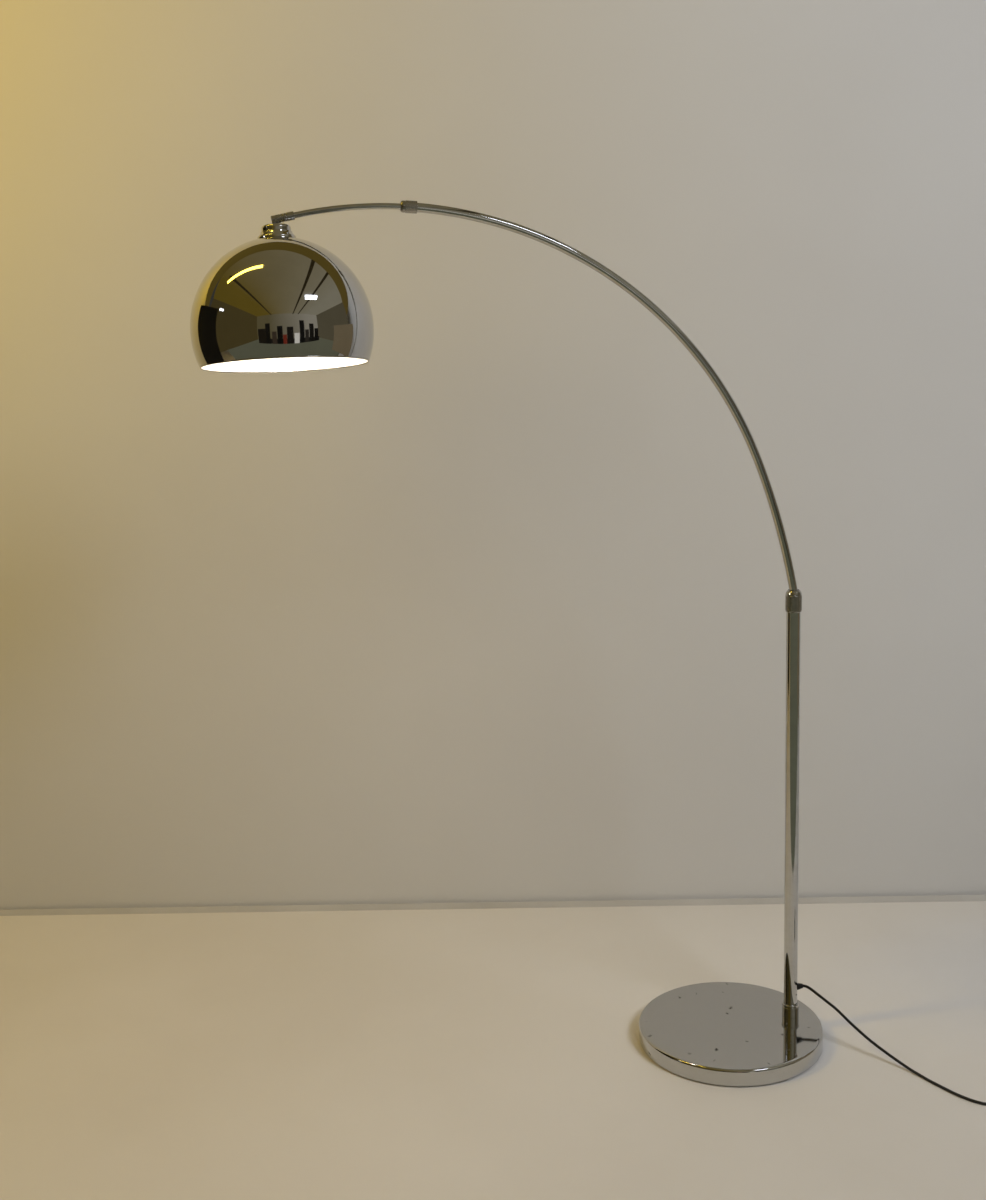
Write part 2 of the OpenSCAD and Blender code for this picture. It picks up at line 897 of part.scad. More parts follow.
module lamp_cord() {
    color("black") swept_cord(cord_route, cord_d / 2, 10);
}

module switch_cord() {
    color("black") swept_cord(switch_route, cord_d / 2, 10);
}

module plug_cord() {
    color("black") swept_cord(plug_route, cord_d / 2, 10);
}

module cord_coil() {
    color("black")
        translate([coil_at[0], coil_at[1], 0])
            tube(coil_mid_r + coil_band / 2, coil_mid_r - coil_band / 2, 0, coil_h);
}

module at_switch() {
    translate([switch_at[0], switch_at[1], 0]) rotate([0, 0, switch_turn]) children();
}

switch_floor = 4;
switch_wall = 2;
switch_corner = 9;
button_l = 30;
button_w = 20;
button_proud = 4;

module switch_base() {
    color("black")
        at_switch()
            difference() {
                rounded_plate(switch_l, switch_w, switch_corner, switch_floor);
                for (x = [-1, 1])
                    translate([x * (switch_l / 2 - 10), 0, 0]) {
                        rod(1.5 + fit, -1, switch_floor + 1);
                        rod(3 + fit, -1, 2);
                    }
            }
}

module switch_cover() {
    inner_l = switch_l - 2 * switch_wall;
    inner_w = switch_w - 2 * switch_wall;
    color("black")
        at_switch()
            difference() {
                translate([0, 0, switch_floor])
                    rounded_plate(switch_l, switch_w, switch_corner, switch_h - switch_floor);
                translate([0, 0, switch_floor - eps])
                    rounded_plate(inner_l, inner_w, switch_corner - switch_wall,
                                  switch_h - switch_floor - switch_wall);
                translate([0, 0, switch_floor])
                    rounded_plate(button_l + 2 * gap, button_w + 2 * gap, 5 + gap, switch_h);
            }
}

module switch_button() {
    rim_top = switch_h - switch_wall - gap;
    color("dimgray")
        at_switch() {
            translate([0, 0, rim_top - 1.5])
                rounded_plate(button_l, button_w, 5, switch_h + button_proud - rim_top + 1.5);
            translate([0, 0, rim_top - 1.5])
                rounded_plate(button_l + 5, button_w + 5, 6, 1.5);
        }
}

module switch_screws() {
    color("gray")
        at_switch()
            for (x = [-1, 1])
                translate([x * (switch_l / 2 - 10), 0, 0]) {
                    rod(1.5, 1, switch_floor + 5);
                    rod(3, 0.6, 2);
                }
}

module switch_glands() {
    color("black")
        at_switch()
            for (turn = [0, 180])
                rotate([0, 0, turn])
                    translate([switch_l / 2, 0, entry_z])
                        rotate([0, 90, 0]) cylinder(r1 = 5, r2 = 3.3, h = gland_l);
}

module at_plug() {
    translate([plug_at[0], plug_at[1], plug_t / 2]) rotate([0, 0, plug_turn]) children();
}

module plug_boot() {
    color("black")
        at_plug() rotate([0, 90, 0]) cylinder(r1 = 3.3, r2 = 5.5, h = plug_boot_l);
}

module plug_body() {
    back_w = 13;
    half = plug_w / 2;
    front = plug_boot_l + plug_l;
    color("black")
        at_plug()
            translate([0, 0, -plug_t / 2])
                linear_extrude(height = plug_t)
                    polygon([[plug_boot_l, -back_w / 2], [plug_boot_l + plug_nose_l, -half],
                             [front - 4, -half], [front, -half + 4], [front, half - 4],
                             [front - 4, half], [plug_boot_l + plug_nose_l, half],
                             [plug_boot_l, back_w / 2]]);
}

module plug_pins() {
    front = plug_boot_l + plug_l;
    color("gold")
        at_plug()
            for (side = [-1, 1])
                translate([front, side * pin_spacing / 2, 0])
                    rotate([0, 90, 0]) cylinder(d = pin_dia, h = pin_l);
}

base_cover();
base_weight();
base_plate();
base_screws();
base_feet();
pole_bolt();
bolt_washer();
pole_insert();
pole_grub_screw();
pole_ferrule();
pole_tube();
cord_grommet();
pole_bush();
pole_collar();
pole_collet();
arc_tube();
tail_ring();
arc_bush();
arc_collar();
inner_tube();
inner_glide();
tube_adaptor();
swivel_rivet();
swivel_washer();
swivel_barrel();
tilt_pin();
swivel_stem();
holder_cap();
shade();
shade_washer();
lock_nut();
lampholder_cap();
lampholder_shell();
socket_thread();
socket_contact();
bulb_cap();
bulb_contact();
bulb_glass();
lead_pole();
lead_arc();
lead_inner();
lead_head();
lamp_cord();
switch_cord();
cord_coil();
plug_cord();
switch_base();
switch_cover();
switch_button();
switch_screws();
switch_glands();
plug_body();
plug_boot();
plug_pins();
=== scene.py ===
"""Looks of a chrome arc floor lamp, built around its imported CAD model.

Lengths are in millimetres until a mesh is made, except in the studio, which is in metres.
"""

import math

import bmesh
import bpy
import numpy as np
from mathutils import Matrix, Vector


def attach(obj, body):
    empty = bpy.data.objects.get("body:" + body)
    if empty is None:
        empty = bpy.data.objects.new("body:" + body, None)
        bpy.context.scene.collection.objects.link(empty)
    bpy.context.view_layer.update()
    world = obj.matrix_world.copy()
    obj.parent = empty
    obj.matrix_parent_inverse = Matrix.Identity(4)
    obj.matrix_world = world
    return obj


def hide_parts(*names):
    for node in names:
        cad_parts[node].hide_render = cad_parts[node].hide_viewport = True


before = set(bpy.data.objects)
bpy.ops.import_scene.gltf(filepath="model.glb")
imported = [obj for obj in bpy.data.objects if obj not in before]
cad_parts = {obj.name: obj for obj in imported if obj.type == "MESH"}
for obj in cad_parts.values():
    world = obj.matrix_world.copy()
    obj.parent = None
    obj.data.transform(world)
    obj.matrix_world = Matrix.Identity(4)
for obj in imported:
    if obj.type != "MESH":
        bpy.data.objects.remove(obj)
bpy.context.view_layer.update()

MM = 0.001

# ------------------------------------------------------------------ sizes shared with the CAD, mm

pole_x = 121.0
base_h, base_r = 34.0, 170.0
pole_r, pole_bore_r, pole_top = 12.5, 11.3, 832.0
bend_r, bend_z = 60.0, 842.5
root_r, root_lean, blend_lean = 1230.0, 10.7, 22.0
arc_r, arc_end = 695.0, 85.9
tail_low = 667.5
arc_tube_r, arc_bore_r = 7.5, 6.5
inner_tube_r, inner_bore_r, inner_start = 4.75, 3.95, 51.3
knuckle_angle, head_turn = 100.75, 6.0
mm_deg = 180 / (math.pi * arc_r)
pin_x = 29.7
shade_r, shade_t, rim_drop = 143.2, 0.8, 225.1
dome_c = 171.3
outlet_z = 89.0
cord_d = 5.2


# ------------------------------------------------------------------ places


def turn_x(a):
    """Rotation about X by a degrees."""
    c, s = math.cos(math.radians(a)), math.sin(math.radians(a))
    return np.array([[1, 0, 0], [0, c, -s], [0, s, c]])


def turn_y(a):
    """Rotation about Y by a degrees."""
    c, s = math.cos(math.radians(a)), math.sin(math.radians(a))
    return np.array([[c, 0, s], [0, 1, 0], [-s, 0, c]])


def turn_z(a):
    """Rotation about Z by a degrees."""
    c, s = math.cos(math.radians(a)), math.sin(math.radians(a))
    return np.array([[c, -s, 0], [s, c, 0], [0, 0, 1]])


def polar(a):
    """Unit vector in the plane y = 0, a degrees up from +X."""
    return np.array([math.cos(math.radians(a)), 0, math.sin(math.radians(a))])


bend_c = np.array([pole_x - bend_r, 0, bend_z])
root_c = bend_c + (bend_r - root_r) * polar(root_lean)
main_c = root_c + (root_r - arc_r) * polar(blend_lean)
knuckle = main_c + arc_r * polar(knuckle_angle)
slope = knuckle_angle - 90
adaptor_turn = turn_z(180) @ turn_y(slope)
barrel_turn = adaptor_turn @ turn_x(head_turn)
head_axes = barrel_turn @ turn_y(-slope)
pin = knuckle + barrel_turn @ np.array([pin_x, 0, 0])

UPRIGHT = (np.eye(3), np.zeros(3))
POLE = (np.eye(3), np.array([pole_x, 0, 0]))
HEAD = (head_axes, pin)
ALONG_X = turn_y(90)


def arc_place(angle):
    """Frame on the main bend: local Z runs along the tube, away from the pole."""
    return turn_y(-angle), main_c + arc_r * polar(angle)


# ------------------------------------------------------------------ mesh makers


def put(points, place):
    """Turns points by the place's matrix, then moves them to its origin."""
    turn, origin = place
    return points @ turn.T + origin


def new_mesh(name, points, faces, sharp=35):
    """Points in mm and a list of faces, as a smooth-shaded object at the origin.
    Edges over sharp degrees stay crisp."""
    mesh = bpy.data.meshes.new(name)
    mesh.from_pydata((np.asarray(points) * MM).tolist(), [], faces)
    mesh.polygons.foreach_set("use_smooth", np.ones(len(mesh.polygons), bool))
    mesh.set_sharp_from_angle(angle=math.radians(sharp))
    mesh.update()
    obj = bpy.data.objects.new(name, mesh)
    bpy.context.scene.collection.objects.link(obj)
    return obj


def grid_faces(rows, cols, wrap_rows, wrap_cols):
    """Quads of a grid of points, row-major, wrapping round in either direction."""
    i = np.arange(rows if wrap_rows else rows - 1)[:, None]
    j = np.arange(cols if wrap_cols else cols - 1)[None, :]
    a, b = i * cols + j, i * cols + (j + 1) % cols
    c, d = (i + 1) % rows * cols + (j + 1) % cols, (i + 1) % rows * cols + j
    return np.stack([a, b, c, d], -1).reshape(-1, 4)


def rounded(corners, steps=7):
    """Closed outline through corners (x, y, radius): each corner becomes an arc tangent to both sides,
    with a point just before and after it so that the flats beside it shade flat."""
    pts = np.array([c[:2] for c in corners], float)
    out = []
    for k, (x, y, r) in enumerate(corners):
        p = pts[k]
        u, v = pts[k - 1] - p, pts[(k + 1) % len(pts)] - p
        lu, lv = np.linalg.norm(u), np.linalg.norm(v)
        u, v = u / lu, v / lv
        half = math.acos(np.clip(u @ v, -1, 1)) / 2
        if r <= 0 or half > 1.56:
            out.append(p)
            continue
        reach = min(r / math.tan(half), 0.49 * lu, 0.49 * lv)
        r = reach * math.tan(half)
        centre = p + (u + v) / np.linalg.norm(u + v) * r / math.sin(half)
        a0, a1 = p + u * reach - centre, p + v * reach - centre
        start, sweep = math.atan2(a0[1], a0[0]), math.atan2(a0[0] * a1[1] - a0[1] * a1[0], a0 @ a1)
        t = start + sweep * np.linspace(0, 1, steps)
        guard = min(0.06 * r + 0.02, 0.2 * (min(lu, lv) - reach))
        out += [p + u * (reach + guard)]
        out += list(centre + r * np.stack([np.cos(t), np.sin(t)], 1))
        out += [p + v * (reach + guard)]
    return np.array(out)


def spun(name, outline, place=UPRIGHT, turns=96, wobble=None):
    """Surface of revolution about local Z.
    Point (r, z) of the closed outline at angle a is (r cos a, r sin a, z).
    wobble(a, k) multiplies r at the outline's point k, for ridges."""
    a = np.linspace(0, 2 * math.pi, turns, endpoint=False)
    r, z = outline[:, 0], outline[:, 1]
    swell = np.ones((turns, 1)) if wobble is None else wobble(a[:, None], np.arange(len(r))[None, :])
    rr = r[None, :] * swell
    p = np.stack([rr * np.cos(a)[:, None], rr * np.sin(a)[:, None], np.broadcast_to(z, rr.shape)], -1)
    return welded(new_mesh(name, put(p.reshape(-1, 3), place),
        grid_faces(turns, len(r), True, True).tolist()))


def welded(obj, gap=1e-6):
    """Merges the points that meet on an axis or at a seam, and points the faces outwards."""
    b = bmesh.new()
    b.from_mesh(obj.data)
    bmesh.ops.remove_doubles(b, verts=b.verts, dist=gap)
    bmesh.ops.dissolve_degenerate(b, dist=gap, edges=b.edges)
    bmesh.ops.recalc_face_normals(b, faces=b.faces)
    b.to_mesh(obj.data)
    b.free()
    obj.data.polygons.foreach_set("use_smooth", np.ones(len(obj.data.polygons), bool))
    obj.data.set_sharp_from_angle(angle=math.radians(35))
    return obj


def pipe(name, path, side, outer, inner, turns=48):
    """Hollow tube: a ring of radius outer, then inner, square to the path at each of its points.
    side is the direction that stays square to a flat path."""
    ahead = np.gradient(path, axis=0)
    ahead /= np.linalg.norm(ahead, axis=1)[:, None]
    up = np.cross(ahead, side)
    a = np.linspace(0, 2 * math.pi, turns, endpoint=False)
    across, raised = np.cos(a)[None, :, None], np.sin(a)[None, :, None]
    ring = across * np.asarray(side)[None, None, :] + raised * up[:, None, :]
    shells = []
    for r, line in ((outer, path), (inner, path[::-1])):
        rings = ring if r == outer else ring[::-1]
        shells.append(line[:, None, :] + r * rings)
    p = np.concatenate(shells)
    return welded(new_mesh(name, p.reshape(-1, 3), grid_faces(len(p), turns, True, True).tolist()))


def arm_line(low, end):
    """Middle line of the outer arm: straight up the pole, then three bends that share their tangents."""
    tail = np.linspace([pole_x, 0, low], [pole_x, 0, bend_z], 8)[:-1]
    bends = []
    for c, r, a0, a1, n in ((bend_c, bend_r, 0, root_lean, 10), (root_c, root_r, root_lean, blend_lean, 16),
                            (main_c, arc_r, blend_lean, end, 90)):
        a = np.radians(np.linspace(a0, a1, n, endpoint=c is main_c))
        bends.append(c + r * np.stack([np.cos(a), 0 * a, np.sin(a)], 1))
    return np.concatenate([tail, *bends])


def smooth_line(points, spacing):
    """Curve through the points, by centripetal Catmull-Rom spans, sampled evenly."""
    p = np.array(points, float)
    p = np.vstack([2 * p[0] - p[1], p, 2 * p[-1] - p[-2]])
    out = []
    for k in range(1, len(p) - 2):
        q = p[k - 1:k + 3]
        t = np.concatenate([[0], np.cumsum(np.sqrt(np.linalg.norm(np.diff(q, axis=0), axis=1)))])
        n = max(2, int(np.linalg.norm(q[2] - q[1]) / spacing))
        s = np.linspace(t[1], t[2], n, endpoint=False)[:, None]
        a = [((t[i + 1] - s) * q[i] + (s - t[i]) * q[i + 1]) / (t[i + 1] - t[i]) for i in range(3)]
        b = [((t[i + 2] - s) * a[i] + (s - t[i]) * a[i + 1]) / (t[i + 2] - t[i]) for i in range(2)]
        out.append((t[2] - s) / (t[2] - t[1]) * b[0] + (s - t[1]) / (t[2] - t[1]) * b[1])
    return np.vstack(out + [p[-2:-1]])


def cord_curve(name, line):
    """Round cord along a line, as one open spline."""
    curve = bpy.data.curves.new(name, "CURVE")
    curve.dimensions = "3D"
    curve.bevel_depth = cord_d / 2 * MM
    curve.bevel_resolution = 5
    curve.use_fill_caps = True
    s = curve.splines.new("POLY")
    s.points.add(len(line) - 1)
    s.points.foreach_set("co", np.hstack([line * MM, np.ones((len(line), 1))]).ravel())
    s.use_smooth = True
    obj = bpy.data.objects.new(name, curve)
    bpy.context.scene.collection.objects.link(obj)
    return obj


def slab(name, size, corner, layers, place, turns=96):
    """Stack of rounded rectangles: each layer (inset, z) is the outline size less inset all round.
    The outline is a circle of the corner's radius pushed out to the rectangle's corners."""
    a = np.linspace(0, 2 * math.pi, turns, endpoint=False) + math.pi / turns
    d = np.stack([np.cos(a), np.sin(a)], 1)
    rings = []
    for inset, z in layers:
        r = max(corner - inset, 0.3)
        core = np.array(size) / 2 - corner
        if inset > corner:
            core = core - (inset - corner)
        rings.append(np.column_stack([np.sign(d) * core + r * d, np.full(turns, z)]))
    p = np.array(rings)
    n = len(p)
    faces = grid_faces(n, turns, False, True).tolist()
    faces.append(list(range(turns)))
    faces.append(list(range((n - 1) * turns, n * turns)))
    return welded(new_mesh(name, put(p.reshape(-1, 3), place), faces))


# ------------------------------------------------------------------ camera

camera_at = np.array([-0.8854, -2.2564, 1.3174])
heading, pitch, roll = math.radians(-11.53), 0.19099, 0.0342
level = np.array([-math.sin(heading), math.cos(heading), 0])
right = np.array([math.cos(heading), math.sin(heading), 0])
forward = level * math.cos(pitch) - np.array([0, 0, math.sin(pitch)])
above = level * math.sin(pitch) + np.array([0, 0, math.cos(pitch)])
cam_x = right * math.cos(roll) - above * math.sin(roll)
cam_y = right * math.sin(roll) + above * math.cos(roll)
camera_data = bpy.data.cameras.new("camera")
camera_data.lens = 41.44
camera_data.sensor_width = 36
camera_data.clip_end = 60
camera = bpy.data.objects.new("camera", camera_data)
bpy.context.scene.collection.objects.link(camera)
camera_axes = np.column_stack([cam_x, cam_y, -forward, camera_at])
camera.matrix_world = Matrix(camera_axes.tolist() + [[0, 0, 0, 1]])
bpy.context.scene.camera = camera


# ------------------------------------------------------------------ materials


def linear(hex_colour):
    """sRGB hex to linear RGBA."""
    c = np.array([int(hex_colour[i:i + 2], 16) for i in (0, 2, 4)]) / 255
    c = np.where(c <= 0.04045, c / 12.92, ((c + 0.055) / 1.055) ** 2.4)
    return (*c.tolist(), 1.0)


def add(tree, kind, links=(), **settings):
    """Adds a node. A setting is one of its properties or else an input's name, or i and an input's number.
    links join inputs to the sockets that feed them."""
    n = tree.nodes.new(kind)
    for key, value in settings.items():
        if hasattr(n, key):
            setattr(n, key, value)
        else:
            socket = int(key[1:]) if key[0] == "i" and key[1:].isdigit() else key.replace("_", " ")
            n.inputs[socket].default_value = value
    for name, socket in dict(links).items():
        tree.links.new(socket, n.inputs[name])
    return n


def surface(name, hex_colour, roughness, metallic=0.0, **more):
    """A new material with its Principled shader's plain values set on its own sockets."""
    m = bpy.data.materials.new(name)
    m.use_nodes = True
    shader = m.node_tree.nodes["Principled BSDF"]
    shader.inputs["Base Color"].default_value = linear(hex_colour)
    shader.inputs["Roughness"].default_value = roughness
    shader.inputs["Metallic"].default_value = metallic
    for key, value in more.items():
        shader.inputs[key.replace("_", " ")].default_value = value
    m.diffuse_color = linear(hex_colour)
    return m, m.node_tree, shader


def patches(tree, size_mm, detail=3.0, stretch=(1, 1, 1), rough=0.5):
    """Soft random patches from 0 to 1, size_mm across, on Object coordinates. stretch draws them out."""
    place = add(tree, "ShaderNodeTexCoord").outputs["Object"]
    drawn = add(tree, "ShaderNodeMapping", {"Vector": place}, Scale=stretch).outputs[0]
    lumps = add(tree, "ShaderNodeTexNoise", {"Vector": drawn}, Scale=1000 / size_mm, Detail=detail,
        Roughness=rough)
    return lumps.outputs[0]


def mottle(tree, shader, hex_a, hex_b, *pattern, socket="Base Color", **more):
    """Lets a colour wander between two values in patches."""
    value = add(tree, "ShaderNodeMapRange", {"Value": patches(tree, *pattern, **more)}, From_Min=0.3,
        From_Max=0.7)
    colour = add(tree, "ShaderNodeMix", {"Factor": value.outputs[0]}, data_type="RGBA", i6=linear(hex_a),
        i7=linear(hex_b))
    tree.links.new(colour.outputs[2], shader.inputs[socket])


def dull(tree, shader, low, high, *pattern):
    """Lets the roughness wander from low to high in patches."""
    value = add(tree, "ShaderNodeMapRange", {"Value": patches(tree, *pattern)}, From_Min=0.3, From_Max=0.7,
        To_Min=low, To_Max=high)
    tree.links.new(value.outputs[0], shader.inputs["Roughness"])


def pebble(tree, shader, strength, depth_mm, *pattern):
    """Raises the surface in patches, depth_mm high."""
    bump = add(tree, "ShaderNodeBump", {"Height": patches(tree, *pattern)}, Strength=strength,
        Distance=depth_mm * MM)
    tree.links.new(bump.outputs[0], shader.inputs["Normal"])


def chrome(name, hex_a, hex_b, smear_mm, low, high, wave=0.0):
    """Bright chrome plate on polished steel: a sharp mirror, very slightly blue-grey, dulled in patches by
    finger grease and fine wiping marks. wave is the depth in mm of the sheet's long, slow unevenness."""
    m, tree, shader = surface(name, hex_a, low, 1.0)
    smear = patches(tree, smear_mm, 5.0, rough=0.6)
    spread = add(tree, "ShaderNodeMapRange", {"Value": smear}, From_Min=0.3, From_Max=0.7).outputs[0]
    colour = add(tree, "ShaderNodeMix", {"Factor": spread}, data_type="RGBA", i6=linear(hex_a),
        i7=linear(hex_b))
    tree.links.new(colour.outputs[2], shader.inputs["Base Color"])
    wipe = patches(tree, 2.2, 2.0, (1, 9, 1))
    both = add(tree, "ShaderNodeMath", {0: smear, 1: wipe}, operation="MULTIPLY").outputs[0]
    grease = add(tree, "ShaderNodeMapRange", {"Value": both}, From_Min=0.12, From_Max=0.42, To_Min=low,
        To_Max=high)
    tree.links.new(grease.outputs[0], shader.inputs["Roughness"])
    if wave:
        pebble(tree, shader, 1.0, wave, 90.0, 1.0)
    return m


chrome_tube = chrome("chrome_plated_tube", "C9C9C8", "BDBDBC", 25.0, 0.035, 0.11)
chrome_dome = chrome("chrome_plated_spun_dome", "CBCAC8", "C2C1BF", 60.0, 0.02, 0.05, 0.05)
chrome_cast = chrome("chrome_plated_turned_brass", "BFBEBC", "ADACA9", 8.0, 0.07, 0.2)

# Knurled chrome: the same plate over a fine diamond-cut grip, so it looks a soft satin grey
chrome_knurl, tree, shader = surface("chrome_plated_knurl", "B4B2AE", 0.2, 1.0)
mottle(tree, shader, "B8B6B2", "A5A39F", 3.0, 4.0)
dull(tree, shader, 0.14, 0.24, 1.2, 2.0)

# Pressed and plated cover of the base: a mirror with small dull scuffs and hairline scratches from use
chrome_base, tree, shader = surface("chrome_plated_pressed_cover", "C6C6C5", 0.05, 1.0)
place = add(tree, "ShaderNodeTexCoord").outputs["Object"]
bent = add(tree, "ShaderNodeMixRGB", {"Color1": place, "Color2": patches(tree, 30.0, 2.0)}, blend_type="ADD",
    Fac=0.05)
cells = add(tree, "ShaderNodeTexVoronoi", {"Vector": bent.outputs[0]}, Scale=30.0, Randomness=1.0,
    feature="F1")
near = add(tree, "ShaderNodeMapRange", {"Value": cells.outputs["Distance"]}, From_Min=0.06, From_Max=0.14,
    To_Min=1.0, To_Max=0.0)
worn = add(tree, "ShaderNodeMapRange", {"Value": patches(tree, 70.0, 0.0)}, From_Min=0.485, From_Max=0.53)
fleck = add(tree, "ShaderNodeMath", {0: near.outputs[0], 1: worn.outputs[0]}, operation="MULTIPLY")
hair = add(tree, "ShaderNodeMapRange", {"Value": patches(tree, 7.0, 2.0, (1, 14, 1))}, From_Min=0.7,
    From_Max=0.74)
scratch = add(tree, "ShaderNodeMath", {0: hair.outputs[0]}, operation="MULTIPLY", i1=0.25)
mark = add(tree, "ShaderNodeMath", {0: fleck.outputs[0], 1: scratch.outputs[0]}, operation="ADD",
    use_clamp=True).outputs[0]
colour = add(tree, "ShaderNodeMix", {"Factor": mark}, data_type="RGBA", i6=linear("C8C8C7"),
    i7=linear("55504A"))
tree.links.new(colour.outputs[2], shader.inputs["Base Color"])
smear = add(tree, "ShaderNodeMapRange", {"Value": patches(tree, 45.0, 6.0, rough=0.62)},
            From_Min=0.3, From_Max=0.7, To_Min=0.035, To_Max=0.1)
matt = add(tree, "ShaderNodeMath", {0: mark}, operation="MULTIPLY", i1=0.3)
rough = add(tree, "ShaderNodeMath", {0: smear.outputs[0], 1: matt.outputs[0]}, operation="ADD")
tree.links.new(rough.outputs[0], shader.inputs["Roughness"])
pebble(tree, shader, 1.0, 0.08, 110.0, 1.0)

# White enamel inside the dome: sprayed, slightly pebbled, satin
enamel, tree, shader = surface("white_sprayed_enamel", "F4F2EC", 0.38)
mottle(tree, shader, "F6F4EF", "EFECE4", 40.0)
pebble(tree, shader, 0.35, 0.05, 1.6, 2.0)

# Black rubber: moulded grommet, strain reliefs and feet; faint bloom in patches
rubber, tree, shader = surface("black_moulded_rubber", "141414", 0.6)
mottle(tree, shader, "101010", "1E1D1C", 6.0, 4.0)
dull(tree, shader, 0.5, 0.72, 3.0, 3.0)
pebble(tree, shader, 0.4, 0.03, 0.8, 2.0)

# Black PVC sheath of the mains cord: soft sheen, slight drawn waviness
sheath, tree, shader = surface("black_pvc_sheath", "131314", 0.4)
mottle(tree, shader, "101011", "1B1B1C", 12.0, 4.0)
dull(tree, shader, 0.33, 0.52, 5.0, 3.0)
pebble(tree, shader, 0.3, 0.05, 4.0, 1.0)

# Black moulded thermoplastic: fine spark-eroded texture
plastic, tree, shader = surface("black_moulded_polypropylene", "161617", 0.42)
mottle(tree, shader, "141415", "1C1C1D", 20.0, 3.0)
dull(tree, shader, 0.36, 0.5, 4.0, 3.0)
pebble(tree, shader, 0.3, 0.03, 0.5, 2.0)

# Black powder-painted steel plate
painted, tree, shader = surface("black_powder_painted_steel", "1A1A1B", 0.55)
mottle(tree, shader, "161617", "242424", 30.0, 4.0)
pebble(tree, shader, 0.4, 0.06, 1.0, 2.0)

# Grey cast iron, sand-cast, unpainted
iron, tree, shader = surface("sand_cast_iron", "4A4744", 0.7, 0.6)
mottle(tree, shader, "3C3A38", "5A5650", 15.0, 6.0)
pebble(tree, shader, 0.8, 0.3, 2.0, 5.0)

# Zinc-plated steel fasteners: pale grey with a faint yellow passivation
zinc, tree, shader = surface("zinc_plated_steel", "A8A7A0", 0.32, 1.0)
mottle(tree, shader, "B4B3AD", "94928A", 5.0, 5.0)
dull(tree, shader, 0.25, 0.42, 2.0, 3.0)

# Natural nylon glides and bushes
nylon, tree, shader = surface("natural_nylon", "E4E2DA", 0.42)
mottle(tree, shader, "E8E6DF", "DAD7CD", 8.0, 3.0)

# Brass contacts
brass, tree, shader = surface("rolled_brass", "C9A455", 0.28, 1.0)
mottle(tree, shader, "CFAB5C", "A98743", 4.0, 4.0)
dull(tree, shader, 0.2, 0.38, 2.0, 3.0)

# Rolled aluminium screw cap of the bulb
aluminium, tree, shader = surface("rolled_aluminium", "C4C4C4", 0.3, 1.0)
dull(tree, shader, 0.22, 0.4, 3.0, 3.0)

# Opal glass of the lit bulb: glows a warm white
opal, tree, shader = surface("lit_opal_glass", "FFF6E6", 0.3, Emission_Strength=45.0)
mottle(tree, shader, "FFF6EA", "FFF2E0", 30.0, 1.0, socket="Emission Color")


def finish(obj, *materials):
    """Gives an object its materials, in slot order."""
    for k, m in enumerate(materials):
        if k < len(obj.data.materials):
            obj.data.materials[k] = m
        else:
            obj.data.materials.append(m)
    return obj


def fit_piece(obj, material, body, slot, *nodes):
    """Finishes a piece and rides it on a body; its slot argument is not used.
    The CAD nodes that it stands for are hidden."""
    finish(obj, *(material if isinstance(material, tuple) else (material,)))
    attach(obj, body)
    if nodes:
        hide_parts(*nodes)
    return obj


# ------------------------------------------------------------------ mains cord, foot switch and plug

cord_route = [
    (145, 0, 89), (151, -3, 88.5), (157, -11, 86), (163, -23, 82), (169, -35, 78),
    (176, -48, 73), (183, -60, 68), (190, -72, 61), (197, -84, 53.5), (205, -96, 45.5),
    (213, -108, 38), (221, -120, 31), (229, -132, 25), (237, -144.5, 20), (245, -158, 15),
    (253, -171, 10.5), (260, -184, 7), (266, -196, 4.4), (272, -209, 3), (278, -226, 2.6),
    (285, -244, 2.6), (293, -263, 2.6), (301, -281, 2.6), (310, -297, 2.6), (320, -311, 2.6),
    (331, -322, 2.8), (342, -331, 4.2), (352, -339, 6)]
switch_route = [(428, -407, 6), (433, -411, 5), (439, -416, 3.4), (446, -422.5, 2.6)]
plug_route = [
    (509, -385, 7.8), (507, -376, 7), (505, -367, 5), (502, -358, 3.2), (498, -350, 2.6),
    (493, -342, 2.8), (487, -335, 4), (480, -329.5, 6), (472, -327, 6.8)]
coil_at = np.array([475.0, -399.0])


def coil_line():
    """Two flat spirals, one on the other: inwards on the floor, then up a cord's thickness and outwards."""
    start, end = math.radians(219), math.radians(22.4 + 7 * 360)
    a = np.linspace(start, end, 300)[6:-6]
    s = (a - start) / (end - start)
    outer, inner = 37.1, 20.4
    r = inner + (outer - inner) * np.abs(2 * s - 1)
    up = np.clip((s - 0.485) / 0.03, 0, 1)
    z = cord_d / 2 + cord_d * up * up * (3 - 2 * up)
    return np.column_stack([coil_at[0] + r * np.cos(a), coil_at[1] + r * np.sin(a), z])


first_line = smooth_line(cord_route, 4.0)
second_line = smooth_line(np.vstack([switch_route, coil_line(), plug_route]), 4.0)


lead_to_switch = fit_piece(cord_curve("cord_to_switch", first_line), sheath, "base", "black_pvc",
    "lamp_cord")
lead_to_plug = fit_piece(cord_curve("cord_to_plug", second_line), sheath, "base", "black_pvc", "switch_cord",
    "cord_coil", "plug_cord")

switch_turn, switch_at, switch_size, entry_z = -41.5, np.array([390.0, -373.0, 0.0]), (74.0, 38.0), 6.0
switch_place = (turn_z(switch_turn), switch_at)
